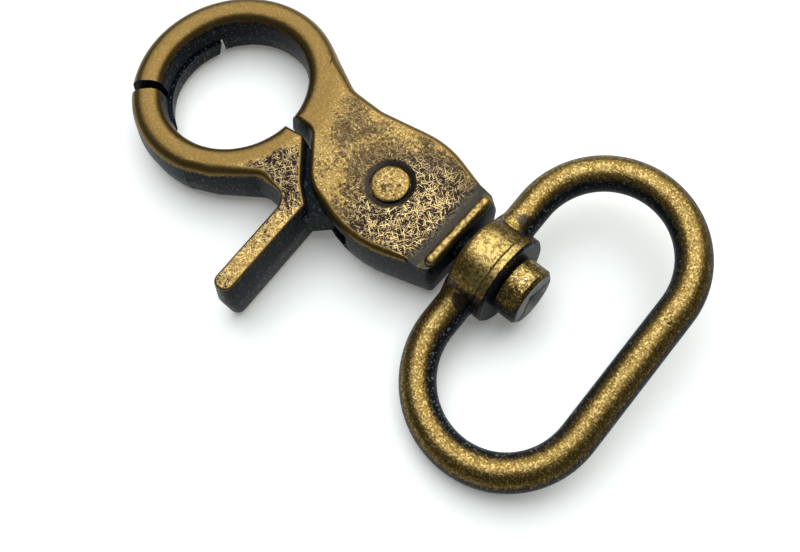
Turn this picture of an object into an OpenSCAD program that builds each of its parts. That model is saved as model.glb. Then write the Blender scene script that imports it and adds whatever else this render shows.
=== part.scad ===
// Swivel snap hook: two scissor jaws close a ring, a thumb tab opens it against a spring,
// and a wire loop for a strap turns on a headed stud at the other end.
// +X runs from the pivot toward the strap loop and +Y toward the closed spine.
// The origin is on the underside, on the pivot axis.

/* [Castings] */
// Thickness of the body, both jaws and the thumb tab
thickness = 6.8; // [6.4:0.1:8]
// How far a side wall leans in from the parting line to either face
draft = 0.4; // [0.2:0.05:0.5]
// Gap between the two overlapping halves of the jaws
lap_gap = 0.24; // [0.1:0.02:0.4]

/* [Jaw ring] */
// Clear diameter of the ring at the parting line
ring_hole_d = 17; // [15.5:0.1:18.5]
// Outer diameter of the ring at the parting line
ring_outer_d = 25.3; // [24.4:0.1:27]
// Distance from the pivot back to the centre of the ring
ring_back = 23.5; // [22:0.05:26]
// How far the ring's centre lies to the thumb tab's side of the pivot
ring_drop = 1.7; // [1:0.05:2]
// Radius of the rounded edges of the ring
ring_edge_r = 1.5; // [1:0.1:1.6]
// Gap between the tips of the two jaws
tip_gap = 1.2; // [0.4:0.1:1.6]
// How much the lever's hidden half stands inside the ring near the tips
tongue_step = 0.4; // [0.2:0.1:0.9]
// How far the end of that half leans back toward its lower face
tongue_lean = 1; // [0.2:0.1:1.5]

/* [Body plate] */
// Width between the outline's corners across the pivot, which their rounding takes in a little
plate_w = 17.2; // [16.4:0.1:18.4]
// Thickness of each plate beside the lever's slot
plate_t = 1.5; // [1.3:0.1:1.7]
// Radius of the rounded edge round the plate
plate_edge_r = 0.9; // [0.5:0.1:1]
// Distance from the pivot to the end of the body
tail_x = 10.2; // [10:0.1:12]
// Width of the body at that end
tail_w = 11.5; // [10.6:0.1:12]
// Width of the sloped groove before the lip
groove_w = 1.6; // [0.8:0.1:2]
// Depth of that groove at the foot of the lip
groove_d = 0.5; // [0.2:0.05:0.6]
// Diameter of the rounded lip across the end of the body
lip_d = 1.4; // [1:0.1:1.6]
// How far the lip stands above the plate
lip_rise = 0.2; // [0:0.05:0.4]

/* [Trigger lever] */
// How far the lever opens in degrees
open_angle = 24; // [18:1:25]
// Reach of the thumb tab from the pivot
tab_reach = 21; // [17:0.2:24]
// Width of the thumb tab at the parting line
tab_w = 3.1; // [2.7:0.1:3.4]
// How far the thumb tab leans toward the strap loop in degrees
tab_lean = 4.2; // [0:0.1:6]
// Gap between the lever's shoulder and the body at the parting line
shoulder_gap = 0.2; // [0.15:0.05:0.5]
// Radius of the lever's eye round the pivot
eye_r = 4.6; // [4.3:0.1:4.8]
// Clearance on each face of the lever's neck in its slot
slot_gap = 0.15; // [0.1:0.05:0.2]

/* [Pivot rivet] */
// Diameter of the rivet's shank
rivet_d = 3.2; // [2.6:0.1:3.6]
// Diameter of the rivet's heads
rivet_head_d = 4.4; // [4:0.1:4.6]
// Thickness of each head
rivet_head_t = 0.6; // [0.4:0.05:0.8]
// Diameter of the shallow dish that was pressed round the upper head
dish_d = 6; // [5.4:0.1:7]
// Depth of that dish
dish_depth = 0.3; // [0.1:0.05:0.4]
// Radial clearance of the turning fits
fit_gap = 0.06; // [0.03:0.01:0.1]

/* [Spring] */
// Diameter of the spring's wire
spring_wire_d = 0.5; // [0.4:0.05:0.55]
// Mean radius of the spring's coil
spring_r = 2.7; // [2.4:0.05:2.9]
// Rise of the coil per turn
spring_pitch = 0.6; // [0.56:0.01:0.62]

/* [Swivel] */
// Sideways place of the swivel axis from the pivot
swivel_y = 0.6; // [0:0.1:1]
// Diameter of the collar that turns on the stud
collar_d = 10.6; // [9.6:0.1:11]
// Length of the collar
collar_len = 5.2; // [4.9:0.1:5.4]
// Width of the raised rim round the collar's far end
rim_w = 1; // [0.6:0.1:1.2]
// How far that rim stands above the collar
rim_rise = 0.3; // [0.1:0.05:0.5]
// Gap between the end of the body and the collar
collar_gap = 1.2; // [0.9:0.1:1.5]
// Diameter of the stud's shank
stud_d = 3.8; // [3:0.1:4.2]
// Diameter of the stud's head
stud_head_d = 6.7; // [6:0.1:7.4]
// Length of the stud's head
stud_head_len = 2.8; // [2:0.1:4]
// How deep the stud is pressed into the body
stud_seat = 3.8; // [3:0.1:4.4]
// End play between the collar and the stud's head
stud_gap = 0.2; // [0.1:0.05:0.4]

/* [Strap loop] */
// Diameter of the loop's wire
wire_d = 4; // [3.4:0.1:4.4]
// Widest strap that the loop takes
strap_w = 31; // [28:0.5:40]
// Clear depth of the loop from its near side to its far side
loop_depth = 14.6; // [13:0.2:18]
// How far the wire flares where it meets the collar
flare = 0.5; // [0.2:0.1:0.8]
// How far the loop lies turned on the swivel in degrees
loop_turn = 10; // [0:0.5:12]

/* [Hidden] */

// How far a cut runs past the face that it opens
past = 1;
// Longer than any part of the hook
reach = 60;
mid = thickness / 2;

ring_c = [-ring_back, -ring_drop];
hole_r = ring_hole_d / 2;
outer_r = ring_outer_d / 2;
// The ring's edges are rounded by at most this share of its wall
ring_round = min(ring_edge_r, 0.37 * (outer_r - hole_r));
// The fixed jaw's ring starts hidden in the plate and comes out of it at these angles
plate_hides = 25;
plate_leaves = 63.5;
// The lever's root starts hidden in its jaw, comes out where the jaw ends, and leaves the ring's line
root_hides = 276;
jaw_ends = 288;
root_leaves = 303;
// The corners that join a casting to its ring lie this far inside the ring's skin
seam_sink = 0.03;
tip_angle = 219.5;
tip_gap_angle = tip_gap / (PI * (hole_r + outer_r)) * 360;
// The lever's hidden half lies under the fixed jaw from here to the tips and runs on past them
lap_angle = 151;
lap_run = 24;
lap_end_gap = 0.2;

slot_h = thickness - 2 * plate_t;
neck_t = slot_h - 2 * slot_gap;
neck_z = plate_t + slot_gap;
slot_side_gap = 0.2;
slot_r = eye_r + 0.4;
eye_top_angle = 115;
eye_low_angle = 260;

recess_gap = 0.15;
recess_r = rivet_head_d / 2 + recess_gap;
spring_floor = neck_z + 1.5;
spring_room_r = spring_r + spring_wire_d / 2 + 0.6;
spring_turns = 2.25;
spring_start = 200;
spring_z = spring_floor + spring_wire_d / 2 + 0.05;
spring_hole_d = spring_wire_d + 0.3;
spring_leg_len = 4.7;
spring_leg_angle = spring_start + 360 * spring_turns + 90;
spring_leg_start = at_angle(spring_r, spring_leg_angle - 90);
spring_end_z = spring_z + spring_pitch * spring_turns;

stud_r = stud_d / 2;
tail_low = swivel_y - tail_w / 2;
tail_high = swivel_y + tail_w / 2;
lip_x = tail_x - lip_d / 2 - 0.1;
collar_x = tail_x + collar_gap;
collar_r = collar_d / 2;
head_x = collar_x + collar_len + stud_gap;

wire_r = wire_d / 2;
loop_near_x = collar_x + wire_r - 0.1;
loop_end_r = (loop_depth + wire_d) / 2;
loop_half_straight = (strap_w + wire_d) / 2 - loop_end_r;

// Outlines of the castings at the parting line, counter-clockwise.
// Each corner is [x, y, corner radius, edge radius, which cap point it belongs to].
nose = ring_c + [11.7, 0.8];
nose_edge_r = 0.6;
flank = [-7.4, 2.85 - plate_w / 2];
flank_r = 6;
belly = [0.5, 0.1 - plate_w / 2];
spine = [1.6, plate_w / 2 - 0.15];
body_outline = [
    corner(ring_c + [7.8, 0.75], 0, nose_edge_r),
    corner(nose, 1.3, nose_edge_r),
    corner(flank, flank_r, 0.6),
    corner(belly, 14, plate_edge_r),
    corner([tail_x, tail_low], 1, 0.45),
    corner([tail_x, tail_high], 1, 0.45),
    corner([tail_x - 2.4, tail_high + 0.3], 3, 0.7),
    corner(spine, 12, plate_edge_r),
    corner(spine - [8.8, 1.75], 6, plate_edge_r),
    corner(ring_c + [11.85, 8.5], 3.5, 1.2),
    on_ring(plate_leaves),
];
body_caps = [[-3, 0.5]];

// The lever's shoulder follows the flank of the body at the shoulder gap
flank_side = unit(flank - nose);
lever_nose = nose - shoulder_gap * left_of(flank_side) + 0.5 * flank_side;
lever_shoulder = inset_point(nose, flank, belly, -shoulder_gap);
tab_root = lever_shoulder + [2.45, -1.75];
tab_side = at_angle(1, tab_lean - 90);
tab_across = -tab_w * left_of(tab_side);
tab_end = tab_root + (tab_reach + tab_root[1]) / cos(tab_lean) * tab_side;
tab_end_r = tab_w / 2 - 0.15;
tab_edge_r = 0.3;
// The lower edge of the lever's root, where the tab's other side starts
root_y = ring_c[1] - 7.15;
tab_back = tab_root + tab_across + (tab_root[1] + tab_across[1] - root_y) / cos(tab_lean) * tab_side;
lever_outline = [
    corner(ring_c + [7.9, -0.15], 0, 0.9),
    corner(ring_c + [0.9, -hole_r - 0.8], 0, ring_round),
    on_ring(root_hides),
    on_ring(jaw_ends),
    on_ring(root_leaves),
    corner([ring_c[0] + 11.45, root_y], 1.6, 1),
    corner(tab_back, 1.5, 0.4, 1),
    corner(tab_end + tab_across, tab_end_r, tab_edge_r, 2),
    corner(tab_end, tab_end_r, tab_edge_r, 2),
    corner(tab_root, 0.7, tab_edge_r, 1),
    corner(lever_shoulder, flank_r + shoulder_gap, 0.35),
    corner(lever_nose, 0.8, 0.45),
];
lever_caps = [ring_c + [12.1, -4.4], tab_root + [-2.35, 0.3], tab_root + [-1.5, -2]];

// The neck's corners lie inside the lever's root
neck_top = lever_nose + [0.25, -1.1];
neck_low = tab_root + [-0.3, -1.35];

arc_steps = 6;
edge_steps = 5;

function unit(v) = v / norm(v);
function turn_by(a) = (a > 180) ? a - 360 : (a < -180) ? a + 360 : a;
function at_angle(r, a) = r * [cos(a), sin(a)];
function left_of(v) = [-v[1], v[0]];
function rotated(p, a) = [p[0] * cos(a) - p[1] * sin(a), p[0] * sin(a) + p[1] * cos(a)];
function corner(p, r, edge_r, cap = 0) = [p[0], p[1], r, edge_r, cap];
function on_ring(a) = corner(ring_c + at_angle(outer_r - seam_sink, a), 0, ring_round);

// Points of one rounded corner at p between its neighbours a and b
function corner_arc(a, p, b, r) =
    let(
        u = unit(a - p),
        v = unit(b - p),
        half_angle = acos(u * v) / 2,
        start = p + u * r / tan(half_angle),
        centre = p + unit(u + v) * r / sin(half_angle),
        from = atan2(start[1] - centre[1], start[0] - centre[0]),
        end = p + v * r / tan(half_angle),
        sweep = turn_by(atan2(end[1] - centre[1], end[0] - centre[0]) - from)
    )
    [for (i = [0 : arc_steps]) centre + at_angle(r, from + sweep * i / arc_steps)];

function xy(c) = [c[0], c[1]];

// The outline with its corners rounded, as [x, y, edge radius, cap point]
function rounded(corners) =
    let(n = len(corners))
    [
        for (i = [0 : n - 1])
            let(
                c = corners[i],
                arc = c[2] > 0
                    ? corner_arc(xy(corners[(i + n - 1) % n]), xy(c), xy(corners[(i + 1) % n]), c[2])
                    : [xy(c)]
            )
            for (p = arc) [p[0], p[1], c[3], c[4]]
    ];

// How far in and at what height a casting's wall is, from the parting line up its edge
function edge_inset(r, a) = draft * (mid - r) / mid + r * (1 - cos(a));
function edge_height(r, a) = mid - r + r * sin(a);

// The edge from the lower face over the parting line to the upper face, as [inset, height]
function edge_profile(r) = [
    for (k = [edge_steps : -1 : 0]) [edge_inset(r, 90 * k / edge_steps), -edge_height(r, 90 * k / edge_steps)],
    [0, 0],
    for (k = [0 : edge_steps]) [edge_inset(r, 90 * k / edge_steps), edge_height(r, 90 * k / edge_steps)],
];

// The corner p between a and b, moved by d to the left of both its sides
function inward(a, b) = left_of(unit(b - a));
function inset_point(a, p, b, d) =
    let(m = inward(a, p), n = inward(p, b))
    p + (m + n) * d / (1 + m * n);

// A drafted casting with rounded edges. Each corner of the outline sets its own edge radius.
module casting(corners, caps) {
    outline = rounded(corners);
    n = len(outline);
    levels = 2 * edge_steps + 3;
    rings = [
        for (k = [0 : levels - 1], i = [0 : n - 1])
            let(
                step = edge_profile(outline[i][2])[k],
                p = inset_point(xy(outline[(i + n - 1) % n]), xy(outline[i]), xy(outline[(i + 1) % n]), step[0])
            )
            [p[0], p[1], mid + step[1]]
    ];
    cap_points = [for (z = [0, thickness], c = caps) [c[0], c[1], z]];
    low = levels * n;
    high = low + len(caps);
    top = (levels - 1) * n;
    walls = [
        for (k = [0 : levels - 2], i = [0 : n - 1])
            let(a = k * n + i, b = k * n + (i + 1) % n)
            each [[a, a + n, b + n], [a, b + n, b]]
    ];
    lids = [
        for (i = [0 : n - 1])
            let(j = (i + 1) % n, c = outline[i][3], d = outline[j][3])
            each concat(
                [[top + j, top + i, high + c], [i, j, low + c]],
                c == d ? [] : [[top + j, high + c, high + d], [j, low + d, low + c]]
            )
    ];
    polyhedron(concat(rings, cap_points), concat(walls, lids));
}

// Part of the ring as a disc, between two angles about the middle of its hole
module ring_disc(from, to) {
    intersection() {
        translate([ring_c[0], ring_c[1], mid])
            rotate_extrude($fn = 96)
                polygon(concat(
                    [[0, -mid]],
                    [for (e = edge_profile(ring_round)) [outer_r - e[0], e[1]]],
                    [[0, mid]]
                ));
        wedge(from, to);
    }
}

module wedge(from, to) {
    steps = 6;
    translate([ring_c[0], ring_c[1], -past])
        linear_extrude(thickness + 2 * past)
            polygon(concat(
                [[0, 0]],
                [for (i = [0 : steps]) at_angle(reach / 2, from + (to - from) * i / steps)]
            ));
}

// The hole in the ring, with its rounded edges
module ring_hole(r) {
    mouth_r = r + edge_inset(ring_round, 90);
    translate([ring_c[0], ring_c[1], mid])
        rotate_extrude($fn = 96)
            polygon(concat(
                [[0, -mid - past], [mouth_r, -mid - past]],
                [for (e = edge_profile(ring_round)) [r + e[0], e[1]]],
                [[mouth_r, mid + past], [0, mid + past]]
            ));
}

// All of the ring's part of the hook below a height
module below(z) {
    translate([ring_c[0] - reach / 2, ring_c[1] - reach / 2, -past])
        cube([reach, reach, z + past]);
}

// The neck that joins the lever to its eye, in plan
module neck_plan() {
    polygon([
        [0, 0],
        at_angle(eye_r, eye_top_angle),
        neck_top,
        neck_low,
        at_angle(eye_r, eye_low_angle),
    ]);
}

// Plan of the slot: the eye's room and all that the neck sweeps as it opens
module slot_plan() {
    mouth = 8;
    swing = open_angle + 1;
    top_side = -slot_side_gap * left_of(unit(neck_top - at_angle(eye_r, eye_top_angle)));
    low_side = unit(neck_low - at_angle(eye_r, eye_low_angle));
    circle(r = slot_r, $fn = 64);
    polygon([
        [0, 0],
        at_angle(eye_r, eye_top_angle) + top_side,
        neck_top + top_side,
        neck_top - [mouth, 0],
        neck_top - [0, 2 * mouth],
        rotated(neck_low + mouth * low_side, swing),
        rotated(at_angle(eye_r, eye_low_angle), swing),
    ]);
}

module hook_body() {
    color("#8f7440") {
        difference() {
            union() {
                casting(body_outline, body_caps);
                ring_disc(plate_hides, tip_angle);
            }
            ring_hole(hole_r);
            lap_room();
            translate([0, 0, plate_t])
                linear_extrude(slot_h)
                    slot_plan();
            rivet_room();
            groove();
            translate([tail_x - stud_seat, swivel_y, mid])
                rotate([0, 90, 0])
                    cylinder(d = stud_d, h = stud_seat + past, $fn = 48);
            spring_notch();
        }
        lip();
    }
}

// The lower half of the fixed jaw is cut away where the lever's tongue lies under it
module lap_room() {
    intersection() {
        wedge(lap_angle, tip_angle + 2 * tip_gap_angle);
        below(mid + lap_gap / 2);
    }
}

// The rivet's hole and the recesses of its heads, the upper one in a shallow pressed dish
module rivet_room() {
    translate([0, 0, -past])
        cylinder(d = rivet_d, h = thickness + 2 * past, $fn = 64);
    for (z = [-past, thickness - rivet_head_t])
        translate([0, 0, z])
            cylinder(r = recess_r, h = rivet_head_t + past, $fn = 64);
    translate([0, 0, thickness - dish_depth])
        cylinder(r1 = recess_r, r2 = dish_d / 2, h = dish_depth, $fn = 64);
    translate([0, 0, thickness])
        cylinder(d = dish_d, h = past, $fn = 64);
}

// The groove slopes down from the plate to the foot of the lip
module groove() {
    foot = lip_x - lip_d / 2;
    translate([0, reach / 2, 0])
        rotate([90, 0, 0])
            linear_extrude(reach)
                polygon([
                    [foot - groove_w, thickness],
                    [foot, thickness - groove_d],
                    [tail_x + past, thickness - groove_d],
                    [tail_x + past, thickness + past],
                    [foot - groove_w, thickness + past],
                ]);
}

module lip() {
    half = tail_w / 2 - lip_d / 2 - 0.6;
    translate([lip_x, swivel_y, thickness + lip_rise - lip_d / 2]) {
        rotate([90, 0, 0])
            cylinder(d = lip_d, h = 2 * half, center = true, $fn = 32);
        for (s = [-1, 1])
            translate([0, s * half, 0])
                sphere(d = lip_d, $fn = 32);
    }
}

// The spring's long leg ends in a small hole in the wall of the slot
module spring_notch() {
    translate(concat(spring_leg_start, [spring_end_z]))
        rotate([0, 90, spring_leg_angle])
            cylinder(d = spring_hole_d, h = spring_leg_len + spring_wire_d / 2, $fn = 24);
}

module trigger_lever() {
    full_from = tip_angle + tip_gap_angle;
    color("#967a44")
        difference() {
            union() {
                difference() {
                    union() {
                        casting(lever_outline, lever_caps);
                        ring_disc(full_from, jaw_ends);
                    }
                    ring_hole(hole_r);
                }
                tongue();
                translate([0, 0, neck_z])
                    linear_extrude(neck_t) {
                        neck_plan();
                        circle(r = eye_r, $fn = 64);
                    }
            }
            translate([0, 0, -past])
                cylinder(r = rivet_d / 2 + fit_gap, h = thickness + 2 * past, $fn = 48);
            spring_room();
        }
}

// The half of the lever's jaw that lies under the tip of the fixed jaw
module tongue() {
    from = lap_angle + lap_end_gap / hole_r * 180 / PI;
    top = mid - lap_gap / 2;
    difference() {
        intersection() {
            ring_disc(from, tip_angle + lap_run);
            below(top);
        }
        ring_hole(hole_r - tongue_step);
        translate([ring_c[0], ring_c[1], 0])
            rotate([0, 0, from])
                rotate([90, 0, 90])
                    linear_extrude(reach / 2)
                        polygon([
                            [-past, -past],
                            [tongue_lean * (1 + past / top), -past],
                            [-past, top * (1 + past / tongue_lean)],
                        ]);
    }
}

// The round recess in the lever's eye that holds the spring, open on one side for its leg
module spring_room() {
    window = [-70, -10, 60];
    translate([0, 0, spring_floor])
        cylinder(r = spring_room_r, h = thickness, $fn = 48);
    translate([0, 0, spring_floor])
        linear_extrude(thickness)
            polygon([[0, 0], for (a = window) at_angle(2.2 * eye_r, a)]);
    translate(concat(at_angle(spring_r, spring_start), [0]))
        cylinder(d = spring_hole_d, h = thickness, $fn = 24);
}

// The lower head lies flush and the upper one stands up a little, domed by its riveting
module pivot_rivet() {
    head_r = rivet_head_d / 2;
    foot_chamfer = 0.2;
    dome = [0.25, 0.15, 0.1];
    color("#8a7345")
        rotate_extrude($fn = 64)
            polygon([
                [0, 0],
                [head_r - foot_chamfer, 0],
                [head_r, foot_chamfer],
                [head_r, rivet_head_t],
                [rivet_d / 2, rivet_head_t],
                [rivet_d / 2, thickness - rivet_head_t],
                [head_r, thickness - rivet_head_t],
                [head_r, thickness - dome[1]],
                [head_r - dome[0], thickness],
                [0, thickness + dome[2]],
            ]);
}

// A round wire swept along a list of points
module wire(path, r, sides = 8) {
    n = len(path);
    rings = [
        for (i = [0 : n - 1])
            let(
                t = unit(path[min(i + 1, n - 1)] - path[max(i - 1, 0)]),
                flat = norm([t[0], t[1]]),
                u = flat > 0.3 ? [-t[1], t[0], 0] / flat : [-sin(spring_start + 90), cos(spring_start + 90), 0],
                v = cross(t, u)
            )
            for (k = [0 : sides - 1])
                path[i] + r * (cos(360 * k / sides) * u + sin(360 * k / sides) * v)
    ];
    walls = [
        for (i = [0 : n - 2], k = [0 : sides - 1])
            let(a = i * sides + k, b = i * sides + (k + 1) % sides)
            each [[a, a + sides, b + sides], [a, b + sides, b]]
    ];
    ends = [
        for (k = [1 : sides - 2])
            each [[0, k, k + 1], [(n - 1) * sides, (n - 1) * sides + k + 1, (n - 1) * sides + k]]
    ];
    polyhedron(rings, concat(walls, ends));
}

// One end of the coil turns down into the lever's eye and the other runs out to the body
module torsion_spring() {
    coil = [
        for (a = [10 : 15 : 360 * spring_turns])
            concat(at_angle(spring_r, spring_start + a), [spring_z + spring_pitch * a / 360])
    ];
    foot = [
        for (z = [neck_z + slot_gap, spring_z - spring_wire_d])
            concat(at_angle(spring_r, spring_start), [z])
    ];
    leg = concat(spring_leg_start + at_angle(spring_leg_len, spring_leg_angle), [spring_end_z]);
    color("#6f6a60")
        wire(concat(foot, coil, [leg]), spring_wire_d / 2);
}

// The stud's head has a chamfered end with a shallow dimple
module swivel_stud() {
    chamfer = 0.4;
    back_chamfer = 0.15;
    dimple = [1.9, 0.35];
    head_r = stud_head_d / 2;
    start = tail_x - stud_seat;
    end = head_x + stud_head_len;
    color("#8d7342")
        translate([0, swivel_y, mid])
            rotate([0, 90, 0])
                rotate_extrude($fn = 64)
                    polygon([
                        [0, start],
                        [stud_r, start],
                        [stud_r, head_x],
                        [head_r - back_chamfer, head_x],
                        [head_r, head_x + back_chamfer],
                        [head_r, end - chamfer],
                        [head_r - chamfer, end],
                        [dimple[0], end],
                        [0, end - dimple[1]],
                    ]);
}

module swivel_loop() {
    color("#90733c")
        translate([0, swivel_y, mid])
            rotate([loop_turn, 0, 0])
                difference() {
                    union() {
                        collar();
                        loop_wire();
                    }
                    translate([collar_x - past, 0, 0])
                        rotate([0, 90, 0])
                            cylinder(r = stud_r + fit_gap, h = collar_len + 2 * past, $fn = 48);
                }
}

// The collar has a rounded shoulder toward the body and a raised rim toward the stud's head
module collar() {
    body_r = collar_r - rim_rise;
    shoulder_r = 0.8;
    rim_edge = 0.25;
    translate([collar_x, 0, 0])
        rotate([0, 90, 0])
            rotate_extrude($fn = 72)
                polygon([
                    [0, 0],
                    for (a = [90 : -22.5 : 0])
                        [body_r - shoulder_r * (1 - cos(a)), shoulder_r * (1 - sin(a))],
                    [body_r, collar_len - rim_w - rim_rise],
                    [collar_r, collar_len - rim_w],
                    [collar_r, collar_len - rim_edge],
                    [collar_r - rim_edge, collar_len],
                    [0, collar_len],
                ]);
}

// Both ends of the loop's near side run into the collar, a little thicker there
module loop_wire() {
    sunk = 1.5;
    flare_len = 1.8;
    end_len = loop_half_straight - collar_r + sunk;
    translate([loop_near_x + loop_end_r, 0, 0]) {
        for (s = [-1, 1])
            translate([0, s * loop_half_straight, 0])
                rotate([0, 0, s > 0 ? 0 : 180])
                    rotate_extrude(angle = 180, $fn = 96)
                        translate([loop_end_r, 0])
                            circle(r = wire_r, $fn = 32);
        translate([loop_end_r, 0, 0])
            rotate([90, 0, 0])
                cylinder(r = wire_r, h = 2 * loop_half_straight, center = true, $fn = 32);
    }
    for (s = [-1, 1])
        translate([loop_near_x, s * loop_half_straight, 0])
            rotate([s * 90, 0, 0]) {
                cylinder(r = wire_r, h = end_len, $fn = 32);
                translate([0, 0, end_len - flare_len])
                    cylinder(r1 = wire_r, r2 = wire_r + flare, h = flare_len, $fn = 32);
            }
}

hook_body();
trigger_lever();
pivot_rivet();
torsion_spring();
swivel_stud();
swivel_loop();
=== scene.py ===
# %% [markdown]
# # A swivel snap hook in antique brass
# The hook is two zinc castings that close a ring like scissors, a rivet, a spring, and a wire loop that
# turns on a headed stud. The shapes come from the CAD frame. This script gives them softened edges, the
# worn brass finish, and the light that shows it.

# %% Tools
import math
from types import SimpleNamespace

import bmesh
import bpy
from mathutils import Matrix, Vector


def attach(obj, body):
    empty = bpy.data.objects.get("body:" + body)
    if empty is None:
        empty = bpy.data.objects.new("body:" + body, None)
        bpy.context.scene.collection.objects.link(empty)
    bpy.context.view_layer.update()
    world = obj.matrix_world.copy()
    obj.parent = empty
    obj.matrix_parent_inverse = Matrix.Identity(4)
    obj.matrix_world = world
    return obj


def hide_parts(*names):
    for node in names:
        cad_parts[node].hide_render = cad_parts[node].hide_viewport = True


MM = 0.001
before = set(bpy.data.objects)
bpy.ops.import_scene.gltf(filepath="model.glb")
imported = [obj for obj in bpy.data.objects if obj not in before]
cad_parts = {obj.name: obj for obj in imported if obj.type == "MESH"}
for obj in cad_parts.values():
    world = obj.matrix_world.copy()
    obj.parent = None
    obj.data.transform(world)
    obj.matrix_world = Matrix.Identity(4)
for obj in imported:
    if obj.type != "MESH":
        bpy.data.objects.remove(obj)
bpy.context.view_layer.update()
scene = bpy.context.scene
scene.view_settings.view_transform = "Standard"

# %% [markdown]
# The camera stands where the photographer stood: above the strap loop, looking back over the hook with
# the camera turned a little. Three directions say how it is turned, right, up and back, and a matrix made
# of them is exact. The picture was cut from a taller one, so the lens is shifted a little downward.

# %% Camera
CAMERA_PLACE = Vector((46.473, -34.171, 115.906)) * MM
CAMERA_RIGHT = Vector((0.74101, 0.66642, -0.08243))
CAMERA_UP = Vector((-0.54254, 0.6665, 0.5113))

camera = bpy.data.objects.new("camera", bpy.data.cameras.new("camera"))
scene.collection.objects.link(camera)
camera.data.sensor_width = 36
camera.data.lens = 50.607
camera.data.shift_x = -0.0175
camera.data.shift_y = -0.2054
turn = Matrix((CAMERA_RIGHT, CAMERA_UP, CAMERA_RIGHT.cross(CAMERA_UP))).transposed()
camera.matrix_world = Matrix.Translation(CAMERA_PLACE) @ turn.to_4x4()
scene.camera = camera
print("camera", round(CAMERA_PLACE.length / MM), "mm from the pivot")

# %% [markdown]
# Colours are written as sRGB hex, as a paint program shows them, and Blender's sockets want linear light,
# so one function does the conversion. Another adds a node of any kind. It takes the inputs in order or by
# name: a socket is linked, a hex colour is converted, and any other value is written in. It gives back the
# node's output, so one line's result goes straight into the next.

# %% Helpers for colour and nodes
def hex_colour(code):
    channels = [int(code[i : i + 2], 16) / 255 for i in (1, 3, 5)]
    linear = [c / 12.92 if c <= 0.04045 else ((c + 0.055) / 1.055) ** 2.4 for c in channels]
    return (*linear, 1.0)


def add(tree, kind, inputs=(), output=0, **settings):
    node = tree.nodes.new(kind)
    for name, value in settings.items():
        setattr(node, name, value)
    for name, value in inputs.items() if isinstance(inputs, dict) else enumerate(inputs):
        if isinstance(value, bpy.types.NodeSocket):
            tree.links.new(value, node.inputs[name])
        else:
            node.inputs[name].default_value = hex_colour(value) if isinstance(value, str) else value
    return node.outputs[output] if len(node.outputs) else node


def new_material(name):
    material = bpy.data.materials.new(name)
    material.use_nodes = True
    material.node_tree.nodes.clear()
    return material, material.node_tree


print("the mid grey #808080 is", round(hex_colour("#808080")[0], 3), "in linear light")

# %% [markdown]
# The hook lies on a white acrylic board. Its collar is thicker than its body, so it rests on the collar and
# on the far end of the jaw ring, and leans by two degrees. The frame keeps the hook square, so the
# board is the one that is tilted here.
#
# Acrylic sheet is cast between glass plates and comes out glossy, and use wears it to a satin, so its
# roughness is 0.4. The picture overexposes it to pure white. A faint glow does that here, and
# only the camera and the metal's reflections see it, so it puts no extra light on the hook.

# %% The board
REST_HIGH = Vector((-35.0, 0, 0.0)) * MM
REST_LOW = Vector((16.6, 0, -1.93)) * MM
BOARD_HALF = 600 * MM

acrylic, tree = new_material("satin white acrylic board")
sheet = add(tree, "ShaderNodeBsdfPrincipled", {"Base Color": "#f7fbf9", "Roughness": 0.4})
glow = add(tree, "ShaderNodeEmission", {"Color": "#ffffff", "Strength": 0.15})
by_camera = add(tree, "ShaderNodeLightPath", output="Is Camera Ray")
by_gloss = add(tree, "ShaderNodeLightPath", output="Is Glossy Ray")
seen = add(tree, "ShaderNodeMath", (by_camera, by_gloss), operation="MAXIMUM")
glow_seen = add(tree, "ShaderNodeMixShader", {0: seen, 2: glow})
both = add(tree, "ShaderNodeAddShader", (sheet, glow_seen))
add(tree, "ShaderNodeOutputMaterial", {"Surface": both})

along = (REST_LOW - REST_HIGH).normalized() * BOARD_HALF
across = Vector((0, 1, 0)) * BOARD_HALF
corners = [REST_LOW + along * a + across * b for a, b in ((-1, -1), (1, -1), (1, 1), (-1, 1))]
board_mesh = bpy.data.meshes.new("board")
board_mesh.from_pydata(corners, [], [(0, 1, 2, 3)])
board_mesh.materials.append(acrylic)
board = bpy.data.objects.new("board", board_mesh)
scene.collection.objects.link(board)
print("board leans", round(math.degrees(math.asin(-along.z / BOARD_HALF)), 2), "degrees")

# %% [markdown]
# Polished metal shows what stands around it. One square softbox, 780 mm wide, hangs half a metre above the
# hook and a little behind it. The tops mirror it as an even bright field, the shadows stay soft, and
# the sides that look past its rim turn dark. A dim grey room fills those. One lamp is enough, because
# a second one would put a second highlight on every rounded edge, and the picture has one.

# %% Light
SOFTBOX_TOWARD = Vector((-0.2, 0.42, 1.0)).normalized()
SOFTBOX_FAR = 0.5
SOFTBOX_WIDE = 0.78

light = bpy.data.lights.new("softbox", "AREA")
light.shape = "SQUARE"
light.size = SOFTBOX_WIDE
light.energy = 5.0
lamp = bpy.data.objects.new("softbox", light)
scene.collection.objects.link(lamp)
lamp.location = SOFTBOX_TOWARD * SOFTBOX_FAR
lamp.rotation_euler = (-SOFTBOX_TOWARD).to_track_quat("-Z", "Y").to_euler()

world = bpy.data.worlds.new("room")
scene.world = world
world.use_nodes = True
world.node_tree.nodes.clear()
room = add(world.node_tree, "ShaderNodeBackground", {"Color": "#e2eef0", "Strength": 0.15})
add(world.node_tree, "ShaderNodeOutputWorld", {"Surface": room})
print("softbox spans", round(2 * math.degrees(math.atan(SOFTBOX_WIDE / 2 / SOFTBOX_FAR))), "degrees")

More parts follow.
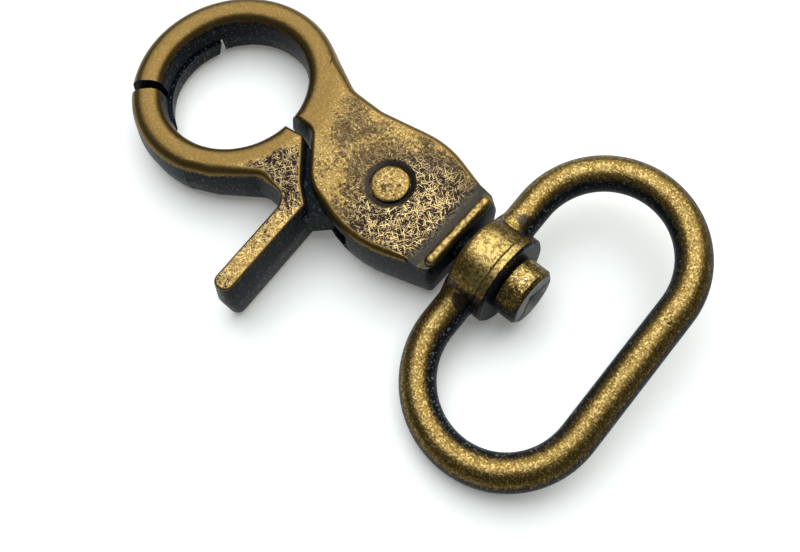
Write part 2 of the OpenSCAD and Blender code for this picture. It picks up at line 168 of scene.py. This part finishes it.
# %% [markdown]
# Antique brass is a finish, not a metal. A zinc casting is plated with brass, dipped in a bath that turns
# its skin black, and then tumbled with others in a barrel. Tumbling rubs the tops and the rounded edges
# back to gold and leaves the walls and hollows black. A picture wrapped round the piece could show that, but
# a pattern of the piece's own shape needs no picture and fits every side, so that way was chosen.
#
# Every pattern lies on the piece itself, in millimetres, so it moves with the piece. Most wear is cloudy, so
# the first pattern is a noise whose blobs have a size in millimetres. The second says how far out a place
# lies from a middle, seen from above, and 1 is the rim of an ellipse round it.

# %% Helpers for patterns
SMOOTH = {"interpolation_type": "SMOOTHSTEP"}
COLOURS = {"data_type": "RGBA", "output": 2}


def cloudy(tree, place, blob_mm, seed, detail=2.0):
    aside = (7.1 * seed, 3.3 * seed, 5.7 * seed)
    scaled = (place, (1 / blob_mm,) * 3, aside)
    scaled = add(tree, "ShaderNodeVectorMath", scaled, operation="MULTIPLY_ADD")
    noise = {"Vector": scaled, "Scale": 1.0, "Detail": detail, "Roughness": 0.5}
    return add(tree, "ShaderNodeTexNoise", noise)


def ellipse_share(tree, place, middle, radii):
    off = add(tree, "ShaderNodeVectorMath", (place, (*middle, 0)), operation="SUBTRACT")
    off = add(tree, "ShaderNodeVectorMath", (off, (1 / radii[0], 1 / radii[1], 0)), operation="MULTIPLY")
    return add(tree, "ShaderNodeVectorMath", (off,), "Value", operation="LENGTH")


# %% [markdown]
# The wear of a place depends on where it is and on which way the skin faces. Both are read once for each
# material. The castings were made in two halves of a mould that met at mid height, so heights count from
# that parting plane. The loop hangs turned by ten degrees on its stud, and lean_deg undoes that, because
# it was rubbed before it was hung.
#
# Tarnish gathers in specks of 0.4 mm, in clouds of about 2.6 mm. The real grain of the plating is some
# hundredths of a millimetre. A pixel of the picture covers 0.12 mm, so the grain is drawn 0.17 mm wide,
# as coarse as it needs to show.

# %% Reading the skin
PARTING_Z = 3.4
GRAIN_MM = 0.17
SPECK_MM = 0.38
PATCH_MM = 2.6


def read_skin(tree, lean_deg):
    metres = add(tree, "ShaderNodeTexCoord", output="Object")
    place = add(tree, "ShaderNodeVectorMath", {0: metres, "Scale": 1000.0}, operation="SCALE")
    normal = add(tree, "ShaderNodeTexCoord", output="Normal")
    if lean_deg:
        lean = {"Vector": normal, "Angle": math.radians(-lean_deg)}
        normal = add(tree, "ShaderNodeVectorRotate", lean, rotation_type="X_AXIS")
    z = add(tree, "ShaderNodeSeparateXYZ", (place,), "Z")
    facing = add(tree, "ShaderNodeSeparateXYZ", (normal,), "Z")
    height = add(tree, "ShaderNodeMath", (z, PARTING_Z), operation="SUBTRACT")
    return SimpleNamespace(
        place=place,
        normal=normal,
        x=add(tree, "ShaderNodeSeparateXYZ", (place,), "X"),
        z=z,
        facing=add(tree, "ShaderNodeMath", (facing,), operation="ABSOLUTE"),
        height=add(tree, "ShaderNodeMath", (height,), operation="ABSOLUTE"),
        grain=cloudy(tree, place, GRAIN_MM, 1, 1.0),
        speck=cloudy(tree, place, SPECK_MM, 2, 1.0),
        patch=cloudy(tree, place, PATCH_MM, 3, 3.0),
    )


print("grain", GRAIN_MM, "mm, specks", SPECK_MM, "mm, clouds", PATCH_MM, "mm")

# %% [markdown]
# One number drives the whole finish: how far a place was rubbed. Skin that faces up or down is
# rubbed most, and the grain makes the border ragged. Three things hold it back. The side that faces a
# hole is kept darker. The chips of the barrel don't reach the walls below the rounded edge, so only what
# lies far enough from the parting plane is rubbed, and the same limit keeps the low neck in the gap
# between the castings black, as painted shade. And the shank of the stud was hidden in the collar, so
# its gold begins at the head.

# %% How far a place was rubbed
def hole_side(tree, skin, middle, half_y, amount):
    """How much a skin that faces the hole round a middle, stretched by half_y both ways, stays black."""
    off = add(tree, "ShaderNodeVectorMath", (skin.place, (*middle, 0)), operation="SUBTRACT")
    off_x = add(tree, "ShaderNodeSeparateXYZ", (off,), "X")
    off_y = add(tree, "ShaderNodeSeparateXYZ", (off,), "Y")
    stretch = add(tree, "ShaderNodeMath", (off_y, half_y), operation="MINIMUM")
    stretch = add(tree, "ShaderNodeMath", (stretch, -half_y), operation="MAXIMUM")
    beside = add(tree, "ShaderNodeMath", (off_y, stretch), operation="SUBTRACT")
    outward = add(tree, "ShaderNodeCombineXYZ", {"X": off_x, "Y": beside})
    outward = add(tree, "ShaderNodeVectorMath", (outward,), operation="NORMALIZE")
    looks = add(tree, "ShaderNodeVectorMath", (outward, skin.normal), "Value", operation="DOT_PRODUCT")
    return add(tree, "ShaderNodeMapRange", (looks, -0.1, -0.8, 0.0, amount), **SMOOTH)


def rubbed_share(tree, skin, rub, hole, lift, head_from):
    ragged = add(tree, "ShaderNodeMath", (skin.speck, 0.4, skin.facing), operation="MULTIPLY_ADD")
    ragged = add(tree, "ShaderNodeMath", (skin.grain, 0.3, ragged), operation="MULTIPLY_ADD")
    ragged = add(tree, "ShaderNodeMath", (ragged, 0.35), operation="SUBTRACT")
    if hole is not None:
        kept_back = hole_side(tree, skin, *hole)
        ragged = add(tree, "ShaderNodeMath", (ragged, kept_back), operation="SUBTRACT")
    rubbed = add(tree, "ShaderNodeMapRange", (ragged, *rub), **SMOOTH)
    # Real wear and painted shade: skin near the parting plane stays black, which also darkens the low neck
    # in the gap.
    if lift is not None:
        high_enough = add(tree, "ShaderNodeMapRange", (skin.height, *lift), **SMOOTH)
        rubbed = add(tree, "ShaderNodeMath", (rubbed, high_enough), operation="MULTIPLY")
    if head_from is not None:
        on_head = add(tree, "ShaderNodeMapRange", (skin.x, head_from - 0.1, head_from + 0.1), **SMOOTH)
        rubbed = add(tree, "ShaderNodeMath", (rubbed, on_head), operation="MULTIPLY")
    return ragged, rubbed


# %% [markdown]
# Flat tops and rounded edges wear in two ways. A flat top is hit all over and keeps tarnish between the
# hits, and an edge is rubbed clean. The jaw ring is narrow and rounded all over, and the lip is a thin bar,
# so they count as edges: smooth_out is the ring's middle and the two distances between which the flat
# begins, and flat_to is where it ends at the lip.

# %% Where the skin is flat
def flat_share(tree, skin, smooth_out, flat_to):
    level = add(tree, "ShaderNodeMapRange", (skin.facing, 0.965, 0.995), **SMOOTH)
    flat = level
    if smooth_out is not None:
        middle, near, far = smooth_out
        out = ellipse_share(tree, skin.place, middle, (1, 1))
        past_ring = add(tree, "ShaderNodeMapRange", (out, near, far), **SMOOTH)
        flat = add(tree, "ShaderNodeMath", (flat, past_ring), operation="MULTIPLY")
    if flat_to is not None:
        before_lip = add(tree, "ShaderNodeMapRange", (skin.x, flat_to + 0.2, flat_to), **SMOOTH)
        flat = add(tree, "ShaderNodeMath", (flat, before_lip), operation="MULTIPLY")
    return level, flat


# %% [markdown]
# Tarnish is what the tumbling left of the black skin on a top. It is a share of the area: specks
# where the cloudy patterns are high enough, more of them the higher the share is. Stains are ellipses on a
# flat top, each with a middle, two radii and the share that it adds, where the piece was rubbed least.

# %% Tarnish
def tarnish_share(tree, skin, flat, flat_tarnish, edge_tarnish, stains):
    share = add(tree, "ShaderNodeMapRange", (flat, 0.0, 1.0, edge_tarnish, flat_tarnish), **SMOOTH)
    for middle, radii, amount in stains:
        out = ellipse_share(tree, skin.place, middle, radii)
        stain = add(tree, "ShaderNodeMapRange", (out, 0.3, 1.2, amount, 0.0), **SMOOTH)
        share = add(tree, "ShaderNodeMath", (flat, stain, share), operation="MULTIPLY_ADD")
    share = add(tree, "ShaderNodeMath", (skin.patch, 0.6, share), operation="MULTIPLY_ADD")
    cloud = add(tree, "ShaderNodeMath", (skin.speck, 0.55, share), operation="MULTIPLY_ADD")
    cloud = add(tree, "ShaderNodeMath", (skin.grain, 0.45, cloud), operation="MULTIPLY_ADD")
    return add(tree, "ShaderNodeMapRange", (cloud, 1.21, 1.37), **SMOOTH)


# %% [markdown]
# Tumbled parts knock against each other, and each knock leaves a short bright line. Straight ones are
# noise that is stretched along an angle. Curved ones follow the level lines of a cloudy noise, as
# contour lines do on a map, and a second noise breaks them into pieces. A real scratch is some 0.02 mm wide
# and a millimetre long. That width is finer than a pixel of the picture, which covers 0.12 mm, so they
# are drawn 0.1 mm wide, as coarse as they need to show.

# %% Scratches
SCRATCH_LONG_MM = 1.0
SCRATCH_WIDE_MM = 0.1
SCRATCH_ANGLES = (8, 37, 71, 103, 128, 164)
SCRATCH_BENDS_MM = (0.5, 0.7)
SCRATCH_BREAKS_MM = 0.9
CROWD_MM = 1.6


def straight_scratches(tree, place):
    found = 0.0
    for i, angle in enumerate(SCRATCH_ANGLES):
        aside = (3 + i * 17.3, i * 5.1, i * 3.7)
        turned = {"Vector": place, "Location": aside, "Rotation": (0, 0, math.radians(angle))}
        turned = add(tree, "ShaderNodeMapping", turned)
        scale = (1 / SCRATCH_LONG_MM, 1 / SCRATCH_WIDE_MM, 1 / SCRATCH_LONG_MM)
        stretched = add(tree, "ShaderNodeMapping", {"Vector": turned, "Scale": scale})
        streaks = {"Vector": stretched, "Scale": 1.0, "Detail": 0.0, "Distortion": 0.2}
        streaks = add(tree, "ShaderNodeTexNoise", streaks)
        streaks = add(tree, "ShaderNodeMapRange", (streaks, 0.7, 0.77), **SMOOTH)
        found = add(tree, "ShaderNodeMath", (found, streaks), operation="MAXIMUM")
    return found


def curved_scratches(tree, place):
    found = 0.0
    for i, bend in enumerate(SCRATCH_BENDS_MM):
        cloud = cloudy(tree, place, bend, 5 + i, 1.0)
        level = add(tree, "ShaderNodeMath", (cloud, 0.5), operation="SUBTRACT")
        level = add(tree, "ShaderNodeMath", (level,), operation="ABSOLUTE")
        line = add(tree, "ShaderNodeMapRange", (level, 0.018, 0.005), **SMOOTH)
        breaks = cloudy(tree, place, SCRATCH_BREAKS_MM, 16 + i, 1.0)
        piece = add(tree, "ShaderNodeMapRange", (breaks, 0.53, 0.58), **SMOOTH)
        line = add(tree, "ShaderNodeMath", (line, piece), operation="MULTIPLY")
        found = add(tree, "ShaderNodeMath", (found, line), operation="MAXIMUM")
    return found


print("scratches are", round(SCRATCH_LONG_MM / SCRATCH_WIDE_MM), "times as long as wide")

# %% [markdown]
# Knocks crowd where a piece is broad and open. On the body that is the plate round and below the rivet:
# scars is the middle and the radii of that ellipse. Tarnish is also deepest there, because each
# knock pushes the skin down between the lines. Pieces without scars are knocked evenly.

# %% Where the scratches crowd
def scratch_share(tree, skin, flat, scratched, scars):
    crowd, depth = 1.0, 1.0
    if scars is not None:
        out = ellipse_share(tree, skin.place, *scars)
        crowd = add(tree, "ShaderNodeMapRange", (out, 1.15, 0.3), **SMOOTH)
        depth = add(tree, "ShaderNodeMapRange", (crowd, 0.0, 0.8, 0.74, 0.97), **SMOOTH)
    clouds = cloudy(tree, skin.place, CROWD_MM, 21)
    crowd = add(tree, "ShaderNodeMath", (clouds, 0.7, crowd), operation="MULTIPLY_ADD")
    crowd = add(tree, "ShaderNodeMapRange", (crowd, 0.6, 1.6, 0.2 * scratched, scratched), **SMOOTH)
    both = (curved_scratches(tree, skin.place), straight_scratches(tree, skin.place))
    lines = add(tree, "ShaderNodeMath", both, operation="MAXIMUM")
    crowd = add(tree, "ShaderNodeMath", (crowd, flat), operation="MULTIPLY")
    return add(tree, "ShaderNodeMath", (lines, crowd), operation="MULTIPLY"), depth


# %% [markdown]
# The barrel's chips don't reach into a hollow, so it keeps a dark oxide with few lines in it, and the dark
# grey given to it also paints the shade that gathers in a recess. The top face lies 3.4 mm off the parting
# plane, and level skin that is lower than that is a hollow's floor. The dish round the rivet, the sloped
# groove and the roots of the wire aren't level enough for that test, so they are ellipses with slightly
# ragged rims. At the roots of the wire the dark is painted shade where the wire meets the collar.

# %% Hollows
FLOOR_BELOW_MM = 3.2


def hollow_share(tree, skin, level, lift, hollows):
    hollow = 0.0
    if lift is not None:
        ends = (skin.height, FLOOR_BELOW_MM, FLOOR_BELOW_MM - 0.2)
        low = add(tree, "ShaderNodeMapRange", ends, **SMOOTH)
        hollow = add(tree, "ShaderNodeMath", (level, low), operation="MULTIPLY")
    for middle, radii in hollows:
        rim = (skin.speck, 0.3, ellipse_share(tree, skin.place, middle, radii))
        rim = add(tree, "ShaderNodeMath", rim, operation="MULTIPLY_ADD")
        inside = add(tree, "ShaderNodeMapRange", (rim, 1.2, 1.06), **SMOOTH)
        hollow = add(tree, "ShaderNodeMath", (hollow, inside), operation="MAXIMUM")
    return hollow


# %% [markdown]
# Bare plated brass isn't one colour either. Its grain goes from dull to gold, and some patches are duller.
# Small facets that would catch the light are painted as bright glints, a painted highlight in the base
# colour. The facets are drawn 0.24 mm wide, since finer ones would be lost between two pixels. On the
# smooth jaw ring grain and painted glints fade, and where a piece is polished, by the strap or a thumb,
# the painted glints merge into a painted sheen.

# %% Bare metal
GLINT_MM = 0.24
DULL_PATCH_MM = 1.1


def bare_metal(tree, skin, flat, gold, glint_highlight, dull, glint_amount, smooth_out, polish_and_glints):
    grainy = add(tree, "ShaderNodeMapRange", (skin.grain, 0.3, 0.6), **SMOOTH)
    facets = cloudy(tree, skin.place, GLINT_MM, 4, 1.0)
    # Painted highlight: light caught by small facets is painted into the base colour as bright specks.
    painted_glints = add(tree, "ShaderNodeMapRange", (facets, 0.5, 0.72, 0.0, glint_amount), **SMOOTH)
    if smooth_out is not None:
        kept = add(tree, "ShaderNodeMath", (flat, 0.7, 0.3), operation="MULTIPLY_ADD")
        grainy = add(tree, "ShaderNodeMath", (grainy, kept), operation="MULTIPLY")
        kept = add(tree, "ShaderNodeMath", (flat, 0.75, 0.25), operation="MULTIPLY_ADD")
        painted_glints = add(tree, "ShaderNodeMath", (painted_glints, kept), operation="MULTIPLY")
    # Real polish, shown as painted sheen: where a piece is polished, the painted glints merge.
    if polish_and_glints is not None:
        out = ellipse_share(tree, skin.place, *polish_and_glints)
        most = add(tree, "ShaderNodeMapRange", (out, 1.1, 0.8, 0.0, 0.5), **SMOOTH)
        merged = add(tree, "ShaderNodeMapRange", (skin.speck, 0.4, 0.62), **SMOOTH)
        merged = add(tree, "ShaderNodeMath", (most, merged), operation="MULTIPLY")
        painted_glints = add(tree, "ShaderNodeMath", (painted_glints, merged), operation="MAXIMUM")
    patches = cloudy(tree, skin.place, DULL_PATCH_MM, 31)
    patches = add(tree, "ShaderNodeMapRange", (patches, 0.48, 0.66, 0.0, 0.5), **SMOOTH)
    metal = add(tree, "ShaderNodeMix", {0: grainy, 6: dull, 7: gold}, **COLOURS)
    metal = add(tree, "ShaderNodeMix", {0: patches, 6: metal, 7: dull}, **COLOURS)
    return add(tree, "ShaderNodeMix", {0: painted_glints, 6: metal, 7: glint_highlight}, **COLOURS)


print("painted_glints", GLINT_MM, "mm, dull patches", DULL_PATCH_MM, "mm")

# %% [markdown]
# The skin that was never rubbed is black with a trace of blue, and a little pale dust sticks to it. Below
# the parting plane the pale specks are doubled: that half faces the white board, and the extra is painted
# reflection of the board. The specks are drawn 0.34 mm wide, coarser than real dust, so that they show.
# The end of the stud was cut after the bath, so it is a matt grey, and a dark line crosses it in a
# shallow arc.

# %% The black skin and the stud's end
BLACK_SKIN = "#040f18"
# Pale specks of dust, which also paint the reflection of the board on the lower half.
DUST_AND_REFLECTION = "#8f9188"
PALE_SPECK_MM = 0.34
CUT_GREY = ("#454644", "#777872")
END_ARC_LINE = "#030304"


def black_skin(tree, skin, dust_and_reflection):
    # Dust and painted reflection: pale specks, doubled below the parting plane, on the half that faces the
    # board.
    ends = (skin.z, PARTING_Z + 0.05, PARTING_Z - 0.1, 0.5 * dust_and_reflection, dust_and_reflection)
    amount = add(tree, "ShaderNodeMapRange", ends, **SMOOTH)
    specks = cloudy(tree, skin.place, PALE_SPECK_MM, 9)
    specks = add(tree, "ShaderNodeMapRange", (specks, 0.58, 0.68), **SMOOTH)
    pale_specks = add(tree, "ShaderNodeMath", (specks, amount), operation="MULTIPLY")
    return add(tree, "ShaderNodeMix", {0: pale_specks, 6: BLACK_SKIN, 7: DUST_AND_REFLECTION}, **COLOURS)


def cut_end(tree, skin, colour, middle, radius):
    """The end that faces +X, grey, with a dark line along a circle round a middle in Y and Z."""
    off = add(tree, "ShaderNodeVectorMath", (skin.place, (0, *middle)), operation="SUBTRACT")
    off = add(tree, "ShaderNodeVectorMath", (off, (0, 1, 1)), operation="MULTIPLY")
    far = add(tree, "ShaderNodeVectorMath", (off,), "Value", operation="LENGTH")
    far = add(tree, "ShaderNodeMath", (skin.speck, 0.5, far), operation="MULTIPLY_ADD")
    off_line = add(tree, "ShaderNodeMath", (far, radius), operation="SUBTRACT")
    off_line = add(tree, "ShaderNodeMath", (off_line,), operation="ABSOLUTE")
    arc_line = add(tree, "ShaderNodeMapRange", (off_line, 0.42, 0.26), **SMOOTH)
    end = add(tree, "ShaderNodeSeparateXYZ", (skin.normal,), "X")
    end = add(tree, "ShaderNodeMapRange", (end, 0.85, 0.95), **SMOOTH)
    arc_line = add(tree, "ShaderNodeMath", (end, arc_line), operation="MULTIPLY")
    clouds = add(tree, "ShaderNodeMapRange", (skin.patch, 0.35, 0.65), **SMOOTH)
    grey = add(tree, "ShaderNodeMix", {0: clouds, 6: CUT_GREY[0], 7: CUT_GREY[1]}, **COLOURS)
    colour = add(tree, "ShaderNodeMix", {0: end, 6: colour, 7: grey}, **COLOURS)
    return add(tree, "ShaderNodeMix", {0: arc_line, 6: colour, 7: END_ARC_LINE}, **COLOURS)


print("the black skin reflects", [round(c, 4) for c in hex_colour(BLACK_SKIN)[:3]])

# %% [markdown]
# Now the layers go together in order: bare metal with its painted glints, tarnish on it, hollows with their
# dark oxide and painted shade, scratches through both, an umber painted shade on the flanks of a rounded
# piece, where its gold turns to black, and the black skin elsewhere. The skin is an oxide, which shines like
# glaze and not like metal, so metalness follows the rubbing. Plated brass after tumbling is satin, with a
# roughness of 0.36, and tarnish adds 0.12. The oxide is dull, with a specular level far under the usual
# 0.5. Scratches and grain stand up to 0.03 mm deep, which tilts the reflections and changes no outline.
#
# Each piece gets its own mix: four colours, one of them the colour of the painted glints, the two values of
# rub between which black turns to gold, the places that the cells above describe, and amounts from 0 to 1,
# such as those for the painted glints, for the umber painted shade on the flanks, and for the pale dust
# with its painted reflection.

# %% Antique brass
HOLLOW = "#25272a"
SCRATCH = "#f6da9a"
# Colour of the painted shade on the flanks of a rounded piece.
UMBER_SHADE = "#4b3611"
ROUGH = 0.36
RELIEF_MM = 0.03


def antique_brass(
    name,
    gold,
    glint_highlight,
    dull,
    tarnish,
    rub=(0.18, 0.6),
    lift=None,
    lean_deg=0.0,
    hole=None,
    head_from=None,
    smooth_out=None,
    flat_to=None,
    flat_tarnish=0.5,
    edge_tarnish=0.2,
    stains=(),
    scratched=0.8,
    scars=None,
    hollows=(),
    glint_amount=0.5,
    polish_and_glints=None,
    shaded=0.0,
    cut=None,
    dust_and_reflection=0.0,
):
    material, tree = new_material(name)
    skin = read_skin(tree, lean_deg)
    ragged, rubbed = rubbed_share(tree, skin, rub, hole, lift, head_from)
    level, flat = flat_share(tree, skin, smooth_out, flat_to)
    stained = tarnish_share(tree, skin, flat, flat_tarnish, edge_tarnish, stains)
    lines, depth = scratch_share(tree, skin, flat, scratched, scars)
    hollow = hollow_share(tree, skin, level, lift, hollows)
    few = add(tree, "ShaderNodeMath", (hollow, -0.6, 1.0), operation="MULTIPLY_ADD")
    lines = add(tree, "ShaderNodeMath", (lines, few), operation="MULTIPLY")

    worn = bare_metal(tree, skin, flat, gold, glint_highlight, dull, glint_amount, smooth_out, polish_and_glints)
    deep = add(tree, "ShaderNodeMath", (stained, depth), operation="MULTIPLY")
    worn = add(tree, "ShaderNodeMix", {0: deep, 6: worn, 7: tarnish}, **COLOURS)
    # Kept oxide and painted shade: hollows are filled with a dark grey.
    dark = add(tree, "ShaderNodeMath", (hollow, 0.9), operation="MULTIPLY")
    worn = add(tree, "ShaderNodeMix", {0: dark, 6: worn, 7: HOLLOW}, **COLOURS)
    worn = add(tree, "ShaderNodeMix", {0: lines, 6: worn, 7: SCRATCH}, **COLOURS)
    # Painted shade: umber darkens the flanks of a rounded piece, where its gold fades into black.
    if shaded:
        painted_flank_shade = add(tree, "ShaderNodeMapRange", (ragged, rub[1] + 0.2, rub[0] + 0.1, 0.0, shaded), **SMOOTH)
        worn = add(tree, "ShaderNodeMix", {0: painted_flank_shade, 6: worn, 7: UMBER_SHADE}, **COLOURS)
    colour = {0: rubbed, 6: black_skin(tree, skin, dust_and_reflection), 7: worn}
    colour = add(tree, "ShaderNodeMix", colour, **COLOURS)
    if cut is not None:
        colour = cut_end(tree, skin, colour, *cut)

    rough = add(tree, "ShaderNodeMapRange", (stained, 0.0, 1.0, ROUGH, ROUGH + 0.12), **SMOOTH)
    relief = add(tree, "ShaderNodeMath", (skin.grain, 0.7, skin.speck), operation="MULTIPLY_ADD")
    relief = add(tree, "ShaderNodeMath", (lines, 0.5, relief), operation="MULTIPLY_ADD")
    bump = add(tree, "ShaderNodeBump", {"Height": relief, "Strength": 0.4, "Distance": RELIEF_MM * MM})
    surface = {"Base Color": colour, "Metallic": rubbed, "Roughness": rough, "Normal": bump}
    shader = add(tree, "ShaderNodeBsdfPrincipled", {**surface, "Specular IOR Level": 0.06})
    add(tree, "ShaderNodeOutputMaterial", {"Surface": shader})
    print(name, len(tree.nodes), "nodes")
    return material


# %% [markdown]
# The two castings come from one mould and one barrel, so they share their metal. The gold is a yellow brass
# a little darkened by lacquer, and the tarnish left in it is a purple brown. The rounding of the ring
# starts about 2 mm off the parting plane, and the gold begins there.

# %% Metal of the castings
RING_MIDDLE = (-23.5, -1.7)
CAST = {
    "gold": "#81693a",
    # The next colour is that of the painted glints, a painted highlight.
    "glint_highlight": "#d0b672",
    "dull": "#6b5630",
    "tarnish": "#241c1d",
    "rub": (0.1, 0.48),
    "lift": (1.95, 2.3),
    "hole": (RING_MIDDLE, 0.0, 0.14),
    "edge_tarnish": 0.24,
    "dust_and_reflection": 0.4,
}
print("castings are rubbed from", CAST["lift"][0], "mm off the parting plane on")

# %% [markdown]
# The body is a die casting. Its plate is the broadest top of the hook, so the barrel knocked it most: the
# eye sees a web of bright threads on dark brown, thickest below and right of the rivet, and a
# calmer brown cloud toward the ring. The ring stays an even gold. The dish round the rivet
# and the groove keep their dark skin, deepened with painted shade, and the lip beside the groove, which a
# thumb slides over, is polished, and its painted glints merge into a painted sheen.

# %% Brass on the body
body_brass = antique_brass(
    "antique brass on the body casting",
    **CAST,
    smooth_out=(RING_MIDDLE, 11.5, 15.0),
    flat_to=8.6,
    flat_tarnish=0.44,
    stains=(((3.8, -0.7), (8.6, 8.8), 0.42), ((-8.0, 3.2), (7.0, 3.6), 0.13)),
    scars=((4.0, -1.2), (9.5, 9.5)),
    # Dark oxide with painted shade in the dish and the groove, and painted sheen on the lip.
    hollows=(((0.0, 0.0), (3.0, 3.0)), ((8.05, 0.6), (0.72, 60.0))),
    polish_and_glints=((9.35, 0.6), (0.75, 60.0)),
)

# %% [markdown]
# The lever is cast and tumbled in the same way. Its jaw is as even as the body's ring. Behind it lies a
# broad root with a stain, since it sits low between the jaw and the plate, and the thumb
# keeps the tab itself lighter, with few scratches.

# %% Brass on the lever
lever_brass = antique_brass(
    "antique brass on the lever casting",
    **CAST,
    smooth_out=(RING_MIDDLE, 10.9, 12.2),
    flat_tarnish=0.4,
    stains=(((-11.0, -6.5), (6.5, 4.5), 0.34),),
    scratched=0.5,
)

# %% [markdown]
# The loop and its collar are one casting, round everywhere, so there is no flat to scratch. A rounded wire
# is rubbed along its crest and less and less toward its flanks. The black on its flanks is kept oxide and
# also painted shade, and the umber between gold and black is painted shade where the light falls off.
# The side toward the strap stays blackest. The collar is the thickest place of the hook, so it was rubbed
# the brightest, and its painted glints merge into a painted sheen. The roots of the wire beside it are
# hollows darkened with painted shade.

# %% Brass on the loop
loop_brass = antique_brass(
    "antique brass on the loop casting",
    gold="#866e3a",
    glint_highlight="#dfc77d",
    dull="#5f4b24",
    tarnish="#2a2116",
    rub=(0.3, 0.85),
    lean_deg=10,
    hole=((22.6, 0.6), 8.2, 0.3),
    flat_tarnish=0.3,
    edge_tarnish=0.28,
    scratched=0.3,
    # Painted shade: dark ellipses at the roots of the wire, where it meets the collar.
    hollows=(((16.6, 6.0), (3.6, 1.1)), ((16.6, -4.8), (3.6, 1.1))),
    glint_amount=0.62,
    # Painted sheen: the painted glints merge on the collar.
    polish_and_glints=((15.2, 0.6), (2.9, 4.0)),
    # Painted shade: umber on the flanks of the wire.
    shaded=0.8,
    dust_and_reflection=0.5,
)

# %% [markdown]
# The rivet is turned from rod and its end is peened flat with a spinning punch. That closes the grain and
# leaves small dimples, so the head is the lightest gold of all, with specks of tarnish in the dimples and
# hardly a scratch.

# %% Brass on the rivet
rivet_brass = antique_brass(
    "antique brass on the peened rivet",
    gold="#8b713c",
    glint_highlight="#d9bf7e",
    dull="#65512a",
    tarnish="#3a2e24",
    flat_tarnish=0.46,
    scratched=0.25,
    # Painted highlight: glints on the peened head.
    glint_amount=0.6,
)

# %% [markdown]
# The stud is a turned pin. Its head was tumbled loose, so its rim is rubbed to gold with black between, and
# strong painted glints sit on the gold. The end was cut off last and shows grey, with a dark line across
# it in a shallow arc.

# %% Brass on the stud
stud_brass = antique_brass(
    "antique brass on the swivel stud",
    gold="#866e3a",
    glint_highlight="#dfc77d",
    dull="#5f4b24",
    tarnish="#201b17",
    rub=(0.2, 0.7),
    head_from=16.6,
    flat_tarnish=0.4,
    edge_tarnish=0.4,
    scratched=0.6,
    # Painted highlight: strong glints on the rim of the head, and umber painted shade on its flanks.
    glint_amount=0.9,
    shaded=0.7,
    cut=((2.2, -2.6), 6.2),
    dust_and_reflection=0.5,
)

# %% [markdown]
# The spring is carbon steel wire, drawn through a die and left bare, since plating would flake as it
# winds. Drawing gives an even satin grey, so a plain metal with a roughness of 0.35 is enough, and hardly
# any of it shows.

# %% Steel of the spring
spring_steel, tree = new_material("drawn spring wire")
shader = {"Base Color": "#8d8578", "Metallic": 1.0, "Roughness": 0.35}
shader = add(tree, "ShaderNodeBsdfPrincipled", shader)
add(tree, "ShaderNodeOutputMaterial", {"Surface": shader})
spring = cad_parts["torsion_spring"]
spring.data.materials.clear()
spring.data.materials.append(spring_steel)
print("spring wears", spring.data.materials[0].name)

# %% [markdown]
# A casting has no razor edge: the plating and the tumbling round each one. Hand-placed bevels would be
# exact, but a bevel modifier finds every sharp edge by its angle, so that way was chosen. A copy of the CAD
# shape is welded into one skin, its sharp edges get a bevel of about 0.1 mm, and the rest is
# shaded smooth. The copy then stands for the CAD node. On the body the angle is smaller, so that the
# shallow dish and groove keep crisp rims.

# %% Softened castings
WELD_MM = 0.002


def softened(node, name, material, width_mm, body, sharp_deg=32):
    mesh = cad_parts[node].data.copy()
    mesh.name = name
    mesh.materials.clear()
    mesh.materials.append(material)
    skin = bmesh.new()
    skin.from_mesh(mesh)
    bmesh.ops.remove_doubles(skin, verts=skin.verts, dist=WELD_MM * MM)
    for face in skin.faces:
        face.smooth = True
        face.material_index = 0
    for edge in skin.edges:
        edge.smooth = len(edge.link_faces) == 2 and edge.calc_face_angle(0) < math.radians(sharp_deg)
    skin.to_mesh(mesh)
    skin.free()
    piece = bpy.data.objects.new(name, mesh)
    scene.collection.objects.link(piece)
    bevel = piece.modifiers.new("soft edges", "BEVEL")
    bevel.width = width_mm * MM
    bevel.segments = 2
    bevel.limit_method = "ANGLE"
    bevel.angle_limit = math.radians(sharp_deg)
    bevel.harden_normals = True
    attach(piece, body)
    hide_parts(node)
    print(name, len(mesh.vertices), "corners,", len(mesh.polygons), "faces")


softened("hook_body", "body_casting", body_brass, 0.12, "body", sharp_deg=21)
softened("trigger_lever", "lever_casting", lever_brass, 0.12, "lever")
softened("swivel_loop", "loop_casting", loop_brass, 0.1, "loop")
softened("pivot_rivet", "peened_rivet", rivet_brass, 0.05, "body")
softened("swivel_stud", "headed_stud", stud_brass, 0.08, "body")
